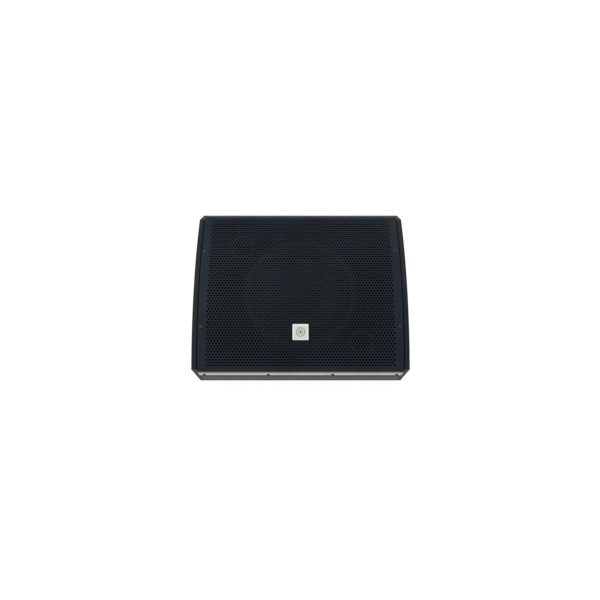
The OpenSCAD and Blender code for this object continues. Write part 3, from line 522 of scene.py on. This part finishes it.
def smooth(mesh, angle=35):
    for polygon in mesh.polygons:
        polygon.use_smooth = True
    mesh.set_sharp_from_angle(angle=math.radians(angle))


def new_piece(name, mesh, slot_name, body="cabinet", stands_for=()):
    obj = bpy.data.objects.new(name, mesh)
    bpy.context.scene.collection.objects.link(obj)
    dress(obj, slot_name)
    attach(obj, body)
    if stands_for:
        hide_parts(*stands_for)
    return obj


WELD = 0.004 * MM
HARD_EDGE = math.radians(30)
FLAT_ENOUGH = math.radians(0.05)
ROUND_STEPS = 2


def soften(node, width):
    """A copy of a CAD node with its hard edges rounded over, in the node's place."""
    mesh = frame["nodes"][node].data.copy()
    bm = bmesh.new()
    bm.from_mesh(mesh)
    bmesh.ops.remove_doubles(bm, verts=bm.verts, dist=WELD)
    bmesh.ops.dissolve_limit(bm, angle_limit=FLAT_ENOUGH, verts=bm.verts, edges=bm.edges)
    hard = [
        e for e in bm.edges
        if len(e.link_faces) == 2 and e.calc_face_angle(0) > HARD_EDGE
    ]
    bmesh.ops.bevel(
        bm, geom=hard, offset=width, offset_type="OFFSET", segments=ROUND_STEPS, profile=0.5,
        affect="EDGES", clamp_overlap=True, loop_slide=True
    )
    bm.to_mesh(mesh)
    bm.free()
    smooth(mesh, 40)
    piece = new_piece(node + "_shaped", mesh, SLOT_OF[node], BODY_OF[node], (node,))
    # the flat faces decide the shading, so that only the rounded edges turn
    weigh = piece.modifiers.new("weigh", "WEIGHTED_NORMAL")
    weigh.keep_sharp = True
    return piece


for name, obj in frame["nodes"].items():
    dress(obj, SLOT_OF[name])

# radius of each rounded piece's edges, in millimetres
ROUNDED = {
    "left_cheek": 1.0, "right_cheek": 1.0, "kick_panel": 0.6, "base_panel": 0.6,
    "top_panel": 0.8, "rear_panel": 0.4, "amp_plate": 0.3, "amp_heatsink": 0.35,
    "handle_cup_left": 0.6, "handle_cup_right": 0.6, "pole_socket": 0.6,
    "xlr_latch": 0.5, "switch_bezel": 0.35, "power_rocker": 0.4,
    "contour_button": 0.5, "ground_lift_button": 0.5, "badge": 0.5, "rubber_feet": 0.8,
}
rounded_pieces = [soften(node, width * MM) for node, width in ROUNDED.items()]
depsgraph = bpy.context.evaluated_depsgraph_get()
for piece in rounded_pieces:
    piece.data = bpy.data.meshes.new_from_object(piece.evaluated_get(depsgraph))
    piece.modifiers.clear()


# ---- the perforated grille ----

PITCH = 8 * MM
HOLE_R = 2.6 * MM
HOLE_SIDES = 10
ROWS = 60
WIDE_ROW = 61
SHEET = 1.5 * MM
BEND_R = 3 * MM
FIRST_ROW = 16 * MM
BEND_STEPS = 4


class Sheet:
    """The folded sheet: a place across it, along it and under its outside face, in metres."""

    def __init__(self):
        low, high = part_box("grille")
        self.half = high.x
        points = [side(v.co.y, v.co.z) for v in frame["nodes"]["grille"].data.vertices]
        self.proud_low = max((p - corner).dot(kick_out) for p in points)
        self.proud_top = max((p - crest).dot(crest_out) for p in points)
        self.low_end = min((p - corner).dot(kick_up) for p in points)
        self.top_end = min((p - crest).dot(crest_up) for p in points)
        self.low_bend = leave(
            face_c, face_r - BEND_R, corner + kick_out * (self.proud_low - BEND_R), kick_up
        )
        self.top_bend = leave(
            face_c, face_r - BEND_R, crest + crest_out * (self.proud_top - BEND_R), crest_up
        )
        self.low_edge = leave(face_c, face_r, corner + kick_out * self.proud_low, kick_up)
        self.low_angle = angle_of(self.low_edge - face_c)
        self.start = self.along(angle_of(self.low_bend - face_c))
        self.end = self.along(angle_of(self.top_bend - face_c))

    def along(self, angle):
        return (self.low_angle - angle) * face_r

    def face(self, x, s, deep):
        return spot(x, face_c + ray(self.low_angle - s / face_r) * (face_r - deep))

    def low_fold(self, x, step, deep):
        """Step 0 is the face's start, BEND_STEPS the flange's, and one more its end."""
        if step > BEND_STEPS:
            p = corner + kick_out * (self.proud_low - deep) + kick_up * self.low_end
            return spot(x, p)
        a0 = angle_of(self.low_bend - face_c)
        a1 = angle_of(kick_out) + 2 * math.pi
        angle = a0 + (a1 - a0) * step / BEND_STEPS
        return spot(x, self.low_bend + ray(angle) * (BEND_R - deep))

    def top_fold(self, x, step, deep):
        if step > BEND_STEPS:
            p = crest + crest_out * (self.proud_top - deep) + crest_up * self.top_end
            return spot(x, p)
        a0 = angle_of(self.top_bend - face_c)
        a1 = angle_of(crest_out)
        angle = a0 + (a1 - a0) * step / BEND_STEPS
        return spot(x, self.top_bend + ray(angle) * (BEND_R - deep))


def perforated_sheet(sheet):
    points, faces = [], []
    made = {}

    def point(key, make):
        """One point for each key, on the outside and on the inside of the sheet."""
        if key not in made:
            made[key] = len(points)
            points.append(make(0))
            points.append(make(SHEET))
        return made[key]

    def panel(keys):
        """A face on the outside, and its twin on the inside turned over."""
        faces.append(tuple(keys))
        faces.append(tuple(k + 1 for k in reversed(keys)))

    def wall(a, b):
        faces.append((a, a + 1, b + 1, b))

    third = PITCH / (2 * math.sqrt(3))

    def cell_corner(ix, iz):
        """Cell corners lie on half pitches across and on thirds of a row along."""
        x, s = ix * PITCH / 2, FIRST_ROW + iz * third
        return point(("c", ix, iz), lambda deep: sheet.face(x, s, deep))

    # corners of a cell round its middle, anticlockwise, as steps of (half pitch, third)
    around = [(1, -1), (1, 1), (0, 2), (-1, 1), (-1, -1), (0, -2)]
    for row in range(ROWS):
        count = WIDE_ROW - row % 2
        for i in range(count):
            mx, mz = 2 * i - (count - 1), 3 * row
            x, s = mx * PITCH / 2, FIRST_ROW + mz * third
            hexagon = [cell_corner(mx + dx, mz + dz) for dx, dz in around]
            hole = []
            for k in range(HOLE_SIDES):
                a = -math.pi / 6 + 2 * math.pi * k / HOLE_SIDES
                hx, hs = x + HOLE_R * math.cos(a), s + HOLE_R * math.sin(a)
                key = ("h", row, i, k)
                hole.append(point(key, lambda deep, u=hx, v=hs: sheet.face(u, v, deep)))
            # walk both rings together, always closing the corner that comes next
            a, b = 0, 0
            while a < 6 or b < HOLE_SIDES:
                if a == 6 or (b < HOLE_SIDES and b * 6 <= a * HOLE_SIDES):
                    panel((hexagon[a % 6], hole[(b + 1) % HOLE_SIDES], hole[b % HOLE_SIDES]))
                    b += 1
                else:
                    panel((hexagon[a % 6], hexagon[(a + 1) % 6], hole[b % HOLE_SIDES]))
                    a += 1
            for k in range(HOLE_SIDES):
                wall(hole[k], hole[(k + 1) % HOLE_SIDES])

    # the field's left and right zigzags, out to the sheet's straight sides
    last = 3 * (ROWS - 1)
    for sign in (-1, 1):
        zigzag = []
        for row in range(ROWS):
            outmost = sign * (WIDE_ROW - row % 2)
            zigzag += [(outmost, 3 * row - 1), (outmost, 3 * row + 1)]
        inner = [cell_corner(*z) for z in zigzag]
        outer = [
            point(("side", sign, iz),
                  lambda deep, v=FIRST_ROW + iz * third: sheet.face(sign * sheet.half, v, deep))
            for _, iz in zigzag
        ]
        for k in range(len(zigzag) - 1):
            quad = (inner[k], outer[k], outer[k + 1], inner[k + 1])
            panel(quad if sign > 0 else quad[::-1])
            edge = (outer[k + 1], outer[k])
            wall(*(edge if sign > 0 else edge[::-1]))

    # below and above the field: a plain margin, the fold and the flange
    for end in (-1, 1):
        base = -1 if end < 0 else last + 1
        tip = -2 if end < 0 else last + 2
        count = WIDE_ROW if end < 0 else WIDE_ROW - (ROWS - 1) % 2
        across = [(ix, base if (ix - count) % 2 == 0 else tip) for ix in range(-count, count + 1)]
        zigzag = [point(("side", -1, base), None)]
        zigzag += [cell_corner(*c) for c in across]
        zigzag.append(point(("side", 1, base), None))
        columns = [-sheet.half] + [ix * PITCH / 2 for ix, _ in across] + [sheet.half]
        fold = sheet.low_fold if end < 0 else sheet.top_fold
        before = zigzag
        for step in range(BEND_STEPS + 2):
            row = [
                point(("fold", end, step, i), lambda deep, u=x, n=step: fold(u, n, deep))
                for i, x in enumerate(columns)
            ]
            for i in range(len(columns) - 1):
                quad = (row[i], row[i + 1], before[i + 1], before[i])
                panel(quad if end < 0 else quad[::-1])
            for i, turn in ((0, end < 0), (len(columns) - 1, end > 0)):
                edge = (before[i], row[i])
                wall(*(edge[::-1] if turn else edge))
            before = row
        for i in range(len(columns) - 1):
            edge = (before[i], before[i + 1])
            wall(*(edge if end > 0 else edge[::-1]))

    mesh = bpy.data.meshes.new("grille_sheet")
    mesh.from_pydata(points, [], faces)
    mesh.validate()
    smooth(mesh, 35)
    return mesh


sheet = Sheet()
new_piece("grille_sheet", perforated_sheet(sheet), "grille_steel", stands_for=("grille",))


# ---- round pieces on the woofer's axis ----

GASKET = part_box("woofer_gasket")
WOOFER_MID = (GASKET[0] + GASKET[1]) / 2
AXIS_OUT = Vector((0, face_out.x, face_out.y))
AXIS_UP = Vector((0, face_up.x, face_up.y))
AXIS_X = Vector((1, 0, 0))


def reach(point):
    """A point's distance from the woofer's axis."""
    offset = point - WOOFER_MID
    return (offset - AXIS_OUT * offset.dot(AXIS_OUT)).length


def bending_ring(node, count, inner, outer):
    """The node cut into sectors by planes through the woofer's axis, each a piece of its own."""
    centre = WOOFER_MID
    source = frame["nodes"][node].data
    for i in range(count):
        middle, half = 2 * math.pi * (i + 0.5) / count, math.pi / count
        radius = AXIS_X * math.cos(middle) + AXIS_UP * math.sin(middle)
        bm = bmesh.new()
        bm.from_mesh(source)
        for turn in (-1, 1):
            edge = middle + turn * half
            out = AXIS_UP * math.cos(edge) - AXIS_X * math.sin(edge)
            bmesh.ops.bisect_plane(
                bm, geom=bm.verts[:] + bm.edges[:] + bm.faces[:], dist=1e-7,
                plane_co=centre, plane_no=out * turn, clear_outer=True
            )
        # the other half of the ring lies behind both planes, so it is dropped by its side
        behind = [v for v in bm.verts if (v.co - centre).dot(radius) < 0]
        bmesh.ops.delete(bm, geom=behind, context="VERTS")
        mesh = bpy.data.meshes.new(f"{node}_sector_{i + 1}")
        bm.to_mesh(mesh)
        bm.free()
        smooth(mesh, 50)
        piece = bpy.data.objects.new(mesh.name, mesh)
        bpy.context.scene.collection.objects.link(piece)
        dress(piece, SLOT_OF[node])
        narrow = math.cos(half)
        centre + radius * outer
        centre + radius * inner * narrow
        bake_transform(piece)
        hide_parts(node)


def ring_bounds(node):
    spans = [reach(v.co) for v in frame["nodes"][node].data.vertices]
    return min(spans), max(spans)


cone_edge = ring_bounds("woofer_cone")[1]
gasket_edge = ring_bounds("woofer_gasket")[0]
# the roll's glued foot starts this far inside the gasket
FOOT_IN = 7 * MM
bending_ring("surround", 16, cone_edge, gasket_edge - FOOT_IN)
coil_edge = ring_bounds("spider")[0]
# the spider's glued collar, and the end of its waves
COLLAR = 2 * MM
WAVES_END = 46 * MM
bending_ring("spider", 12, coil_edge + COLLAR, coil_edge + WAVES_END)


# ---- badge print: plain rings, like a loudspeaker seen from the front ----

# inner and outer radius of each ring, in millimetres
PRINTED_RINGS = ((10.2, 11.4), (5.6, 6.5), (0.02, 2.6))
PRINT_LIFT = 0.12 * MM
RING_SIDES = 40


def flat_ring(bm, place, inner, outer, lift):
    """A thin raised ring, made of its inside, its top and its outside."""
    rows = []
    for radius, up in ((inner, 0.0), (inner, lift), (outer, lift), (outer, 0.0)):
        rows.append([
            bm.verts.new(place(
                radius * math.cos(2 * math.pi * k / RING_SIDES),
                radius * math.sin(2 * math.pi * k / RING_SIDES), up
            )) for k in range(RING_SIDES)
        ])
    for a, b in zip(rows, rows[1:]):
        for k in range(RING_SIDES):
            n = (k + 1) % RING_SIDES
            bm.faces.new((a[k], b[k], b[n], a[n]))


def badge_print():
    points = [v.co for v in frame["nodes"]["badge"].data.vertices]
    flat = [side(p.y, p.z) for p in points]
    middle = sum((Vector(p) for p in flat), Vector((0, 0))) / len(flat)
    out = unit(middle - face_c)
    top = max((p - middle).dot(out) for p in flat)
    up = Vector((-turn_left(out).x, -turn_left(out).y))

    def at(x, y, lift):
        p = middle + out * (top + lift) + up * y
        return spot(x, p)

    bm = bmesh.new()
    for inner, outer in PRINTED_RINGS:
        flat_ring(bm, at, inner * MM, outer * MM, PRINT_LIFT)
    bmesh.ops.recalc_face_normals(bm, faces=bm.faces)
    mesh = bpy.data.meshes.new("badge_rings")
    bm.to_mesh(mesh)
    bm.free()
    smooth(mesh, 40)
    piece = new_piece("badge_rings", mesh, "badge_plate")
    piece.data.materials.clear()
    piece.data.materials.append(badge_ink().material)


badge_print()


# ---- camera, floor and light ----

LENS = 32.94
LOOK_DOWN = 36
CAMERA_BACK = 1.027
CAMERA_UP = 0.965
CAMERA_SIDE = -0.0013
FLOOR_HALF = 30

camera = bpy.data.objects.new("camera", bpy.data.cameras.new("camera"))
bpy.context.scene.collection.objects.link(camera)
camera.data.sensor_width = 36
camera.data.lens = LENS
camera.location = (CAMERA_SIDE, corner.x - CAMERA_BACK, corner.y + CAMERA_UP)
camera.rotation_euler = (math.radians(90 - LOOK_DOWN), 0, 0)
bpy.context.scene.camera = camera


def studio_floor():
    mesh = bpy.data.meshes.new("floor")
    signs = ((-1, -1), (1, -1), (1, 1), (-1, 1))
    mesh.from_pydata([(x * FLOOR_HALF, y * FLOOR_HALF, 0) for x, y in signs], [], [(0, 1, 2, 3)])
    floor = bpy.data.objects.new("floor", mesh)
    bpy.context.scene.collection.objects.link(floor)
    f = Finish("studio_floor")
    cloud = f.noise(1.5, 2, 0.5)
    f.set(Base_Color=f.mix(cloud.between(0.2, 0.8), (0.07, 0.07, 0.07), (0.08, 0.08, 0.08)),
          Roughness=0.9, Emission_Color=(1, 1, 1), Emission_Strength=0.98,
          Specular_IOR_Level=0.0)
    mesh.materials.append(f.material)


def soft_light(name, place, aim, size, power):
    light = bpy.data.lights.new(name, "AREA")
    light.shape = "RECTANGLE"
    light.size, light.size_y = size
    light.energy = power
    obj = bpy.data.objects.new(name, light)
    bpy.context.scene.collection.objects.link(obj)
    obj.location = place
    obj.rotation_mode = "QUATERNION"
    obj.rotation_quaternion = (Vector(aim) - Vector(place)).to_track_quat("-Z", "Y")


studio_floor()
world = bpy.data.worlds.new("studio")
world.use_nodes = True
sky = world.node_tree.nodes["Background"]
sky.inputs["Color"].default_value = (0.97, 0.985, 1, 1)
sky.inputs["Strength"].default_value = 0.62
bpy.context.scene.world = world
soft_light("key", (-2.0, -0.3, 2.2), (0, 0, 0.2), (1.8, 1.4), 50)
soft_light("fill", (1.8, 0.9, 2.2), (0, 0, 0.2), (1.6, 1.6), 26)
bpy.context.scene.view_settings.view_transform = "Standard"
